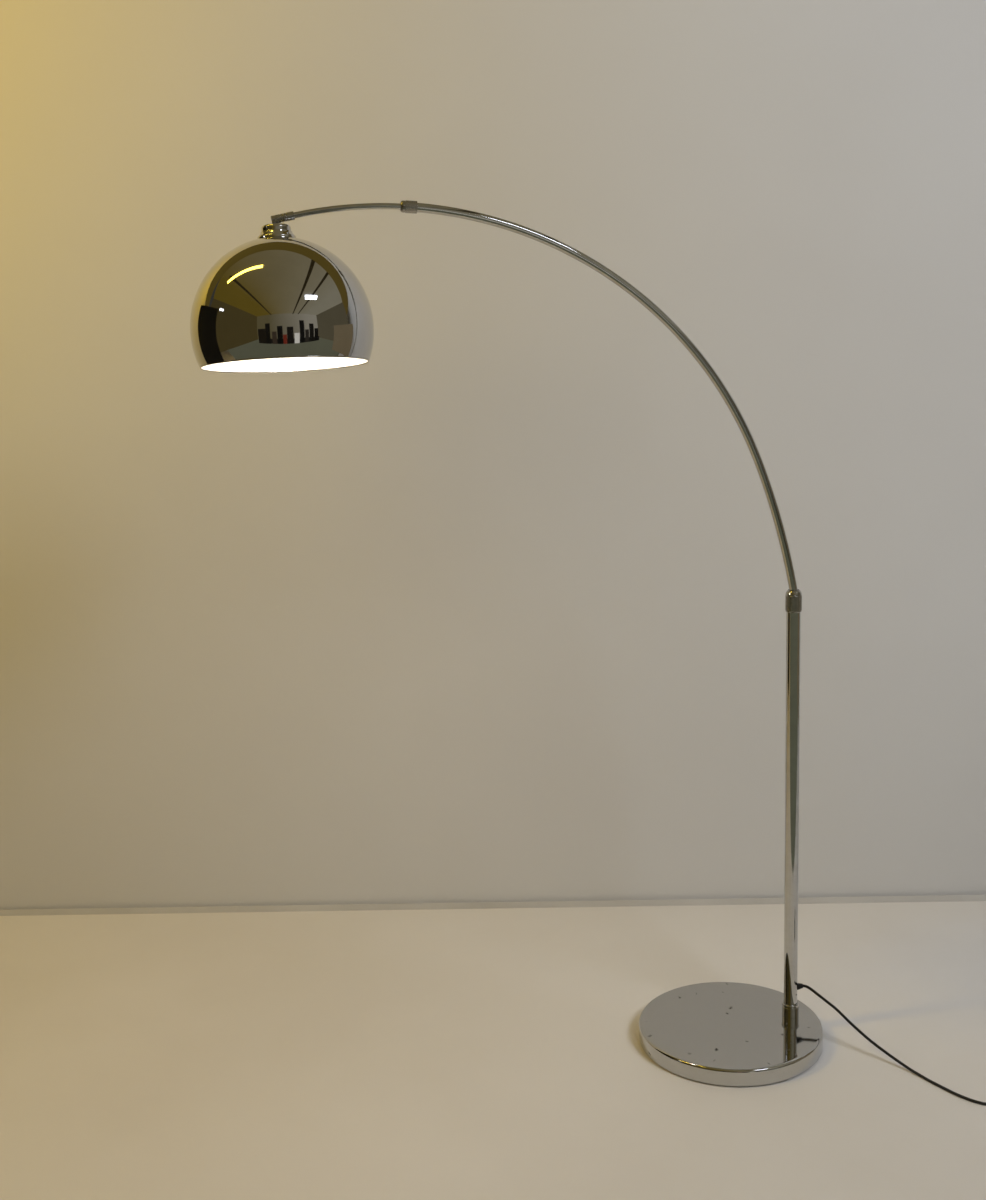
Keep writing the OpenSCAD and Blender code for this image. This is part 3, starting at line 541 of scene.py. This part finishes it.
# Layers of the switch from the floor up, each (inset, height)
tub_layers = [(3.0, 0.05), (1.2, 0.05), (0.5, 0.4), (0.15, 1.0), (0, 1.8), (0, 3.7), (0.35, 3.95), (5, 3.95)]
lid_layers = [
    (5, 4.05), (0.35, 4.05), (0.05, 4.35), (0.05, 14.5), (0.4, 16.6), (1.3, 18.4), (2.6, 19.5),
    (4.2, 19.95), (6.0, 20.0), (8.0, 20.0), (8.4, 19.8), (8.7, 19.2), (8.7, 17.0)]
button_layers = [(0, 16.3), (0, 22.2), (0.3, 23.2), (1.0, 23.8), (2.0, 24.0), (5.0, 23.8), (8.0, 23.5)]
tub = slab("switch_tub", switch_size, 9, tub_layers, switch_place)
fit_piece(tub, plastic, "base", "black_plastic", "switch_base")
lid = slab("switch_lid", switch_size, 9, lid_layers, switch_place)
fit_piece(lid, plastic, "base", "black_plastic", "switch_cover")
button = slab("switch_press", (30, 20), 5, button_layers, switch_place)
fit_piece(button, plastic, "foot_button", "black_plastic", "switch_button")


def relief_sleeve(name, place, big, small, long, ribs, body="base", *nodes):
    """Tapered sleeve along local X with ribs round it.
    The radius falls from big to small and dips by (1 - cos) between the ribs."""
    k = ribs * 8
    x = np.linspace(0, long, k)
    r = big + (small - big) * x / long
    r = r - 0.45 * (0.5 - 0.5 * np.cos(2 * math.pi * ribs * x / long)) * (x > 0) * (x < long)
    bore = cord_d / 2 - 0.15
    outline = np.vstack([np.column_stack([r, x]), [[bore + 0.3, long + 0.25], [bore, long], [bore, 0.0]]])
    turn, origin = place
    return fit_piece(spun(name, outline, (turn @ ALONG_X, origin), 40), rubber, body, "black_rubber", *nodes)


for way, turned, nodes in (("in", switch_turn + 180, ["switch_glands"]), ("out", switch_turn, [])):
    mouth = switch_at + turn_z(turned) @ np.array([switch_size[0] / 2, 0, 0]) + [0, 0, entry_z]
    relief_sleeve(f"switch_relief_{way}", (turn_z(turned), mouth), 5.0, 3.4, 14, 5, "base", *nodes)

plug_place = (turn_z(170), np.array([472.0, -327.0, 6.8]))


def plug_form():
    """Flat two-pin plug body: at each distance x along it, a rounded rectangle
    (w |cos a|^n, h |sin a|^n), whose half width w follows a smooth shoulder."""
    x = np.array([20.0, 20.3, 21, 23, 26, 29, 32, 35, 38, 42, 46, 50, 53, 54.6, 55.6, 56.0])
    w = np.array([5.4, 6.0, 6.5, 7.6, 10.2, 13.4, 16.0, 17.3, 17.6, 17.6, 17.6, 17.6, 17.3, 16.6, 15.6,
        14.4])
    h = np.array([5.2, 5.7, 6.0, 6.3, 6.6, 6.7, 6.8, 6.8, 6.8, 6.8, 6.8, 6.8, 6.7, 6.4, 5.8, 4.8])
    a = np.linspace(0, 2 * math.pi, 64, endpoint=False)
    n = 0.42
    cx, cy = np.sign(np.cos(a)) * np.abs(np.cos(a)) ** n, np.sign(np.sin(a)) * np.abs(np.sin(a)) ** n
    p = np.stack([np.repeat(x[:, None], 64, 1), w[:, None] * cx, h[:, None] * cy], -1)
    faces = grid_faces(len(x), 64, False, True).tolist()
    faces += [list(range(64)), list(range((len(x) - 1) * 64, len(x) * 64))]
    return welded(new_mesh("plug_shell", put(p.reshape(-1, 3), plug_place), faces))


plug_shell = fit_piece(plug_form(), plastic, "base", "black_plastic", "plug_body")
k = np.linspace(0, 20, 48)
boot_r = 3.3 + 2.2 * k / 20 - 0.4 * (0.5 - 0.5 * np.cos(2 * math.pi * 6 * k / 20))
boot_outline = np.vstack([[[2.45, 0.0]], np.column_stack([boot_r, k]), [[2.45, 20.0]]])
plug_boot = fit_piece(spun("plug_strain_relief", boot_outline, (plug_place[0] @ ALONG_X, plug_place[1]), 40),
    rubber, "base", "black_rubber", "plug_boot")
sleeve_outline = rounded([(0, 0, 0), (2.0, 0, 0), (2.0, 9.6, 0.3), (0, 9.6, 0)])
tip_outline = rounded([(0, 9.7, 0), (1.95, 9.7, 0), (1.95, 19.0, 1.5), (0, 19.0, 0)])
for side, end in ((-9.3, "a"), (9.3, "b")):
    place = (plug_place[0] @ ALONG_X, plug_place[1] + plug_place[0] @ np.array([56.0, side, 0]))
    sleeve = spun(f"plug_pin_sleeve_{end}", sleeve_outline, place, 32)
    tip = spun(f"plug_pin_{end}", tip_outline, place, 32)
    fit_piece(sleeve, plastic, "base", "black_plastic")
    fit_piece(tip, brass, "base", "brass_contact")
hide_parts("plug_pins")

# ------------------------------------------------------------------ base and pole

cover_outline = rounded([
    (0, base_h, 0), (base_r, base_h, 6), (base_r, 3.0, 0.8), (base_r - 1.2, 3.0, 0.3),
    (base_r - 1.2, base_h - 1.2, 4.8), (0, base_h - 1.2, 0)], 14)
fit_piece(spun("base_shell", cover_outline, turns=256), chrome_base, "base", "chrome_steel", "base_cover")

ferrule_outline = rounded([
    (12.55, 34.02, 0.2), (15.7, 34.02, 0.5), (15.7, 52.6, 0.4), (15.1, 53.0, 0.2), (15.1, 53.8, 0.2),
    (16.0, 54.2, 0.6), (16.0, 58.9, 2.2), (12.55, 58.9, 0.6)], 8)
fit_piece(spun("pole_foot_ring", ferrule_outline, POLE, 96), chrome_tube, "base", "chrome_steel",
    "pole_ferrule")

pole_outline = rounded([
    (pole_bore_r, base_h + 0.1, 0.2), (pole_r, base_h + 0.1, 0.2), (pole_r, pole_top, 0.3),
    (pole_bore_r, pole_top, 0.3)], 5)
fit_piece(spun("pole", pole_outline, POLE, 96), chrome_tube, "base", "chrome_steel", "pole_tube")


def ridges(count, depth, radius, band):
    """Grip ridges, depth mm deep: multiplier 1 + depth / radius (cos(count a) - 1) / 2 where band is true."""
    return lambda a, k: 1 + np.where(band[k], depth / radius * (0.5 * np.cos(count * a) - 0.5), 0)


collar_outline = rounded([
    (12.6, 811.6, 0.3), (13.5, 811.5, 0.3), (14.2, 812.4, 0.5), (14.2, 814.2, 0.2), (14.5, 814.5, 0.2),
    (14.5, 841.5, 0.3), (14.1, 842.0, 0.3), (14.1, 844.2, 1.2), (12.6, 847.9, 2.5), (10.4, 850.6, 2.0),
    (9.45, 851.5, 0.5), (9.45, 845.2, 0.2), (12.6, 844.4, 0.3)], 7)
band = (collar_outline[:, 0] > 14.3)
fit_piece(spun("pole_grip", collar_outline, POLE, 480, ridges(80, 0.16, 14.5, band)), chrome_knurl,
    "pole_lock", "chrome_cast", "pole_collar")

grommet_outline = rounded([
    (2.65, 10.2, 0.2), (4.0, 10.2, 0.2), (4.0, 12.6, 0.2), (6.4, 12.6, 0.6), (6.5, 14.6, 0.8),
    (5.0, 15.2, 0.4), (5.0, 16.2, 0.4), (5.9, 16.5, 0.6), (5.8, 18.0, 0.8), (4.7, 18.8, 0.4),
    (4.5, 19.6, 0.4), (5.0, 20.2, 0.5), (4.6, 21.8, 0.8), (4.1, 23.9, 0.6), (2.65, 24.0, 0.2)], 5)
fit_piece(spun("cord_sleeve", grommet_outline, (ALONG_X, np.array([pole_x, 0, outlet_z])), 48), rubber,
    "base", "black_rubber", "cord_grommet")

# ------------------------------------------------------------------ arm

SIDE = np.array([0.0, 1.0, 0.0])
fit_piece(pipe("outer_arm_tube", arm_line(tail_low, arc_end), SIDE, arc_tube_r, arc_bore_r, 64), chrome_tube,
    "outer_arm", "chrome_steel", "arc_tube")
angles = np.radians(np.linspace(inner_start, knuckle_angle + 9 * mm_deg, 110))
inner_line = main_c + arc_r * np.stack([np.cos(angles), 0 * angles, np.sin(angles)], 1)
fit_piece(pipe("inner_arm_tube", inner_line, SIDE, inner_tube_r, inner_bore_r, 56), chrome_tube, "inner_arm",
    "chrome_steel", "inner_tube")

arm_collar_outline = rounded([
    (7.95, -13.4, 0.2), (9.3, -13.5, 0.3), (9.75, -13.0, 0.3), (9.75, 5.2, 0.3), (9.2, 5.6, 0.3),
    (9.2, 6.6, 0.4), (9.5, 7.0, 0.6), (9.3, 10.6, 1.8), (7.2, 13.2, 1.6), (5.25, 13.5, 0.4),
    (5.2, 10.6, 0.2), (7.95, 10.5, 0.2)], 7)
band = (arm_collar_outline[:, 0] > 9.6)
fit_piece(spun("arm_grip", arm_collar_outline, arc_place(arc_end - 0.2), 360, ridges(60, 0.14, 9.75, band)),
    chrome_knurl, "arm_lock", "chrome_cast", "arc_collar")

adaptor_outline = rounded([
    (4.85, 0.0, 0.2), (6.2, 0.0, 0.3), (6.75, 0.7, 0.4), (6.75, 11.6, 0.3), (6.3, 12.1, 0.2),
    (6.3, 12.9, 0.2), (6.6, 13.3, 0.2), (6.6, 15.5, 0.2), (4.0, 15.5, 0), (4.0, 9.4, 0), (4.85, 9.3, 0)], 6)
fit_piece(spun("tube_end_sleeve", adaptor_outline, (adaptor_turn @ ALONG_X, knuckle), 64), chrome_cast,
    "inner_arm", "chrome_cast", "tube_adaptor")

# ------------------------------------------------------------------ head

cap_outline = rounded([
    (5.0, -9.4, 0.3), (22.9, -9.4, 9.2), (23.0, -19.4, 0.4), (24.6, -19.9, 0.5), (24.9, -21.4, 1.0),
    (26.2, -23.4, 4.0), (30.2, -27.6, 4.0), (30.5, -31.25, 0.5), (29.7, -31.35, 0.2),
    (29.3, -28.2, 3.0), (24.0, -22.4, 2.0), (22.0, -20.0, 0.5), (21.8, -10.4, 8.0), (5.0, -10.4, 0.2)], 12)
fit_piece(spun("head_cap", cap_outline, HEAD, 128), chrome_dome, "head", "chrome_steel", "holder_cap")


def dome():
    """Sphere's cap as a thin shell: outside, a rolled bead round the rim, then inside.
    Point t from the crown is (R sin t, R cos t), below the tilt pin."""
    rim = math.acos((rim_drop - dome_c) / -shade_r)
    first = math.asin(5.3 / shade_r)
    t = np.linspace(first, rim - 0.006, 120)
    outside = np.column_stack([shade_r * np.sin(t), -dome_c + shade_r * np.cos(t)])
    ring_r = math.sqrt(shade_r ** 2 - (rim_drop - dome_c) ** 2) - 1.5
    a = np.radians(np.linspace(30, -250, 22))
    bead = np.column_stack([ring_r + 1.5 * np.cos(a), -rim_drop + 1.5 * np.sin(a)])
    s = shade_r - shade_t
    inside = np.column_stack([s * np.sin(t[::-1]), -dome_c + s * np.cos(t[::-1])])
    outline = np.vstack([outside, bead, inside])
    obj = spun("dome_shade", outline, HEAD, 192)
    m = obj.data
    local = (np.array([f.center for f in m.polygons]) / MM - pin) @ head_axes
    gap = np.linalg.norm(local - [0, 0, -dome_c], axis=1)
    lining = (gap < shade_r - shade_t / 2) & (local[:, 2] > -rim_drop + 0.3)
    m.polygons.foreach_set("material_index", lining.astype(np.int32))
    return obj


fit_piece(dome(), (chrome_dome, enamel), "head", "chrome_steel", "shade")

holder_cap_outline = rounded([
    (5.05, -29.5, 0.3), (8.8, -29.5, 1.0), (9.0, -35.4, 0.8), (9.4, -36.5, 0.5), (18.6, -46.5, 3.0),
    (19.5, -53.3, 0.6), (17.7, -53.4, 0.2), (17.0, -48.0, 2.0), (8.0, -38.5, 1.0), (5.05, -38.0, 0.3)], 7)
fit_piece(spun("socket_cap", holder_cap_outline, HEAD, 64), plastic, "head", "black_plastic",
    "lampholder_cap")
shell_outline = rounded([
    (2.6, -53.6, 0.2), (19.4, -53.6, 0.5), (19.5, -56.4, 0.3), (21.4, -56.6, 0.5), (21.4, -60.3, 0.5),
    (19.4, -60.6, 0.4), (19.4, -88.6, 0.8), (17.8, -89.2, 0.5), (17.7, -58.5, 0.5), (2.6, -58.5, 0.2)], 6)
ribbed = (shell_outline[:, 0] > 19.3) & (shell_outline[:, 0] < 19.6) & (shell_outline[:, 1] < -61)
fit_piece(spun("socket_shell", shell_outline, HEAD, 288, ridges(36, 0.5, 19.4, ribbed)), plastic, "head",
    "black_plastic", "lampholder_shell")


def screw_cap():
    """Outline of a rolled screw thread: r = 12.75 + 0.42 cos(2 pi z / 3.62) down the cap."""
    z = np.linspace(-67.5, -87.2, 90)
    r = 12.75 + 0.42 * np.cos(2 * math.pi * (z + 67.5) / 3.62)
    return np.vstack([[[0, -63.2], [5.5, -63.2], [7.5, -64.4], [12.0, -67.0]], np.column_stack([r, z]),
        [[12.6, -87.7], [0, -87.7]]])


fit_piece(spun("bulb_screw_cap", screw_cap(), HEAD, 64), aluminium, "head", "bulb_aluminium", "bulb_cap")
ball_at, ball_r, neck_r, neck_at = -136.5, 30.0, 12.4, -87.8
theta = np.radians(np.linspace(42, 180, 60))
ball = np.column_stack([ball_r * np.sin(theta), ball_at + ball_r * np.cos(theta)])
u = np.linspace(0, 1, 24)[:-1, None]
tangent = np.array([math.cos(math.radians(42)), -math.sin(math.radians(42))]) * 34
hermite = ((2 * u ** 3 - 3 * u ** 2 + 1) * np.array([neck_r, neck_at])
           + (u ** 3 - 2 * u ** 2 + u) * np.array([0, -34])
           + (-2 * u ** 3 + 3 * u ** 2) * ball[0] + (u ** 3 - u ** 2) * tangent)
fit_piece(spun("bulb_globe", np.vstack([[[0, neck_at]], hermite, ball]), HEAD, 64), opal, "head",
    "opal_glass", "bulb_glass")

# ------------------------------------------------------------------ CAD nodes that show as they are

kept = {
    iron: ["base_weight"], painted: ["base_plate", "pole_grub_screw"],
    zinc: ["base_screws", "pole_bolt", "bolt_washer", "pole_insert", "swivel_rivet", "swivel_washer",
        "tilt_pin", "shade_washer", "lock_nut", "bulb_contact", "switch_screws"],
    rubber: ["base_feet"], nylon: ["pole_bush", "pole_collet", "tail_ring", "arc_bush", "inner_glide"],
    chrome_cast: ["swivel_barrel", "swivel_stem"], brass: ["socket_thread", "socket_contact"],
    sheath: ["lead_pole", "lead_arc", "lead_inner", "lead_head"],
}
for material, names in kept.items():
    for name in names:
        finish(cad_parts[name], material)

# ------------------------------------------------------------------ studio


def card(name, centre, size, turn, material, seen=True):
    """Flat rectangle for the studio, size wide and high, facing its local +Z.
    One that isn't seen shows only in reflections."""
    w, h = size[0] / 2, size[1] / 2
    p = np.array([[-w, -h, 0], [w, -h, 0], [w, h, 0], [-w, h, 0]]) @ np.asarray(turn).T + np.asarray(centre)
    obj = new_mesh(name, p / MM, [[0, 1, 2, 3]])
    finish(obj, material)
    obj.visible_camera = obj.visible_diffuse = obj.visible_shadow = seen
    return obj


# Painted studio floor: pale warm grey screed
floor_paint, tree, shader = surface("painted_studio_floor", "CFC9BE", 0.55)
mottle(tree, shader, "D2CCC2", "C8C1B5", 900.0, 5.0)
dull(tree, shader, 0.42, 0.62, 300.0, 4.0)
# Painted plaster wall, only there from its front, so that it never hides the lamp from behind
wall_paint, tree, shader = surface("painted_plaster_wall", "C4C1BB", 0.8)
mottle(tree, shader, "C8C5BF", "BFBBB4", 1500.0, 4.0)
clear = add(tree, "ShaderNodeBsdfTransparent")
behind = add(tree, "ShaderNodeNewGeometry").outputs["Backfacing"]
both = add(tree, "ShaderNodeMixShader", {0: behind, 1: shader.outputs[0], 2: clear.outputs[0]})
tree.links.new(both.outputs[0], tree.nodes["Material Output"].inputs["Surface"])

card("floor", (0, -2.0, 0), (14, 12), np.eye(3), floor_paint)
wall_turn = turn_z(-14.2) @ turn_x(90)
wall_at = np.array([-0.302, 0.727, 0])
card("wall", wall_at + [0, 0, 1.16], (14, 2.32), wall_turn, wall_paint)
skirting_paint, tree, shader = surface("painted_skirting", "B4AFA6", 0.5)
mottle(tree, shader, "B8B3AA", "ABA69D", 200.0, 3.0)
card("wall_foot", wall_at + wall_turn @ np.array([0, 0, 0.012]) + [0, 0, 0.007], (14, 0.014),
    wall_turn @ turn_x(-15), skirting_paint)


def lamp(name, centre, aim, size, watts, hex_colour, glossy=True):
    """Soft rectangular light at centre, turned to aim."""
    data = bpy.data.lights.new(name, "AREA")
    data.shape, data.size, data.size_y = "RECTANGLE", size[0], size[1]
    data.energy, data.color = watts, linear(hex_colour)[:3]
    obj = bpy.data.objects.new(name, data)
    bpy.context.scene.collection.objects.link(obj)
    obj.location = centre
    obj.rotation_euler = (Vector(aim) - Vector(centre)).to_track_quat("-Z", "Y").to_euler()
    obj.visible_camera = False
    obj.visible_glossy = glossy
    return obj


lamp("key_soft", (1.2, -2.4, 3.0), (0.25, 0.4, 0.5), (1.3, 1.0), 33, "E4EDFF", False).data.spread = 1.9
lamp("fill_soft", (-2.2, -2.0, 2.2), (-0.6, 0.2, 0.2), (1.6, 1.2), 15, "FFE9A6", False)
lamp("overhead_soft", (0.1, -0.4, 3.4), (0.0, 0.0, 0), (2.4, 1.6), 9, "E4EDFF", False)
lamp("yellow_wash", (-2.5, -0.1, 2.8), (-1.9, 1.1, 1.8), (0.5, 0.3), 31, "FFD400", False)


def glow_card(name, centre, size, turn, hex_colour, strength=1.0, far_colour=None):
    """Glowing stand-in for part of the studio behind the camera, seen only in reflections: its emitted colour
    is the painted reflection of that part as lit.
    It has one colour, or runs to another along X."""
    m, tree, shader = surface(name + "_paint", "000000", 0.9)
    if far_colour:
        place = add(tree, "ShaderNodeTexCoord").outputs["Object"]
        across = add(tree, "ShaderNodeSeparateXYZ", {0: place}).outputs[0]
        part = add(tree, "ShaderNodeMapRange", {"Value": across}, From_Min=-3.0, From_Max=2.5).outputs[0]
        colour = add(tree, "ShaderNodeMix", {"Factor": part}, data_type="RGBA", i6=linear(hex_colour),
            i7=linear(far_colour))
        tree.links.new(colour.outputs[2], shader.inputs["Emission Color"])
    else:
        shader.inputs["Emission Color"].default_value = linear(hex_colour)
    shader.inputs["Emission Strength"].default_value = strength
    return card(name, centre, size, turn, m, False)


face_down = turn_x(180)
face_room = turn_x(-90) @ turn_z(180)
face_right = turn_z(90) @ turn_x(90)
face_left = turn_z(-90) @ turn_x(90)
# Painted reflections of the studio: each card glows in the colour that its part of the room shows in the
# chrome, not a lamp.
glow_card("studio_ceiling", (0, -2.4, 3.5), (12, 7.6), face_down, "62521C", 1.0, "868170")
glow_card("studio_back", (0, -6.2, 1.75), (12, 3.6), face_room, "5E563C", 1.0, "908B7E")
glow_card("studio_left", (-5.0, -2.4, 1.75), (7.6, 3.6), face_right, "4A4024")
glow_card("studio_right", (4.4, -2.6, 1.75), (7.2, 3.6), face_left, "56503F")
glow_card("studio_near_floor", (0, -3.8, 0.004), (10, 6.0), np.eye(3), "5E5F4E")
glow_card("studio_curtain", (-2.3, 0.6, 0.95), (1.25, 1.9), face_right, "090807")
glow_card("studio_board", (2.2, -0.6, 0.75), (2.1, 1.5), face_left, "6E624C")
glow_card("ceiling_tube", (-2.12, 0.12, 3.4), (1.77, 0.17), turn_z(-19.5) @ face_down, "FFDE52", 11.0)
glow_card("roof_light", (1.12, -2.25, 3.4), (0.9, 0.5), turn_z(20) @ face_down, "EDF2FF", 9.0)
glow_card("far_lamp", (-4.2, -0.25, 2.6), (0.4, 0.14), face_right, "F0F4FF", 5.0)
glow_card("studio_upper_wall", wall_at + [0, 0, 2.9], (14, 1.18), wall_turn, "5A4B1E")
for k, x in enumerate((-2.6, 0.35, 1.1)):
    glow_card(f"studio_beam_{k}", (x, -2.8, 3.42), (0.14, 6.8), face_down, "2A2312")
# Things that stand about in the studio: middle, width and height in metres, and colour
clutter = [
    (-3.2, 0.9, 1.5, "1C1812"), (-2.5, 0.5, 2.0, "14120F"), (-1.85, 0.45, 1.2, "3A3026"),
    (-1.3, 0.5, 1.7, "0E0D0C"), (-0.85, 0.35, 0.9, "6E2A1C"), (-0.35, 0.6, 1.6, "191613"),
    (0.3, 0.5, 1.0, "D6D3CB"), (0.85, 0.5, 2.2, "100F0E"), (1.4, 0.45, 1.3, "2B2722"),
    (2.0, 0.6, 1.9, "15130F"), (2.7, 0.6, 1.4, "0F0E0C"), (0.0, 6.4, 0.5, "1D1A16")]
for k, (x, wide, high, colour) in enumerate(clutter):
    glow_card(f"studio_thing_{k}", (x, -4.4 - 0.01 * k, high / 2), (wide, high), face_room, colour)

world = bpy.data.worlds.new("studio_air")
bpy.context.scene.world = world
world.use_nodes = True
tree = world.node_tree
back = tree.nodes["Background"]
back.inputs[0].default_value, back.inputs[1].default_value = linear("6A6860"), 0.36
pale = add(tree, "ShaderNodeBackground", Color=linear("B7AF9F"), Strength=0.8)
seen = add(tree, "ShaderNodeLightPath").outputs["Is Camera Ray"]
mixed = add(tree, "ShaderNodeMixShader", {0: seen, 1: back.outputs[0], 2: pale.outputs[0]})
tree.links.new(mixed.outputs[0], tree.nodes["World Output"].inputs["Surface"])
bpy.context.scene.view_settings.view_transform = "Standard"

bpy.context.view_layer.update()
